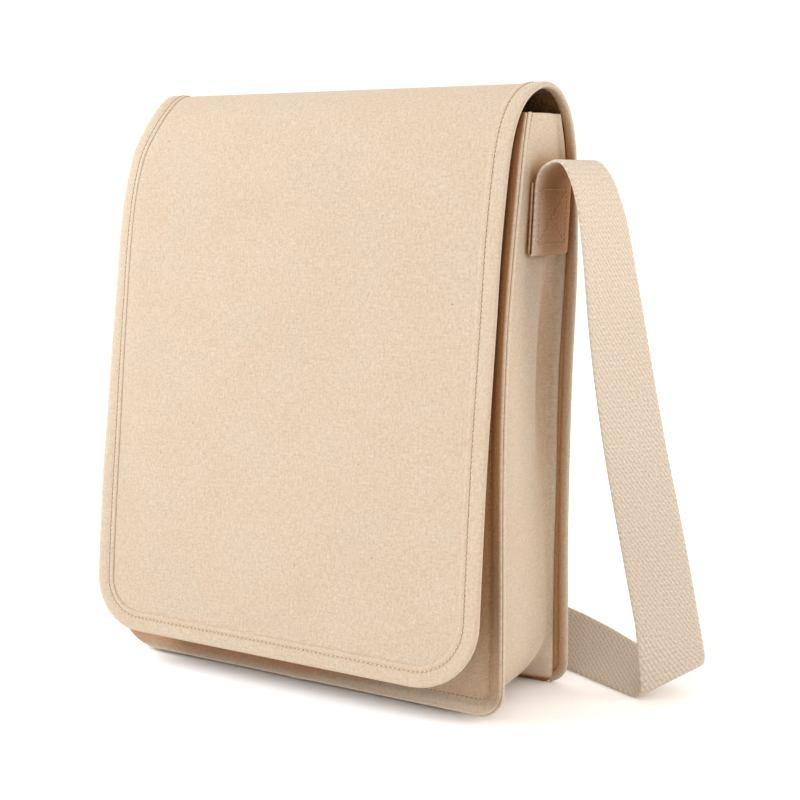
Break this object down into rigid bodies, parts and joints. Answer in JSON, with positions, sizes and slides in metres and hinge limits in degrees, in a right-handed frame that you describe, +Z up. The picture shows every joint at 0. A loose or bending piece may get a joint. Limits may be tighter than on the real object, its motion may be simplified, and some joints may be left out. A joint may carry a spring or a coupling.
{
  "type": "conference bag",
  "caption": "Upright canvas messenger bag: hollow body with side gussets, a deep bound flap over the front and a webbing shoulder strap that hangs down one side and lies behind it.",
  "frame": {"origin": "middle of the flat base, on the surface that the bag stands on", "axes": "+Z up, -Y towards the front that the flap covers, +X to the right seen from the front"},
  "size_m": [0.4469, 0.1721, 0.3808],
  "materials": {
    "canvas": "natural unbleached cotton canvas, matte",
    "webbing": "natural cotton herringbone webbing, matte"
  },
  "bodies": {
    "root": {"front_panel": "canvas", "gusset": "canvas", "back_flap_panel": "canvas", "edge_binding": "canvas", "shoulder_strap": "webbing"}
  },
  "joints": []
}
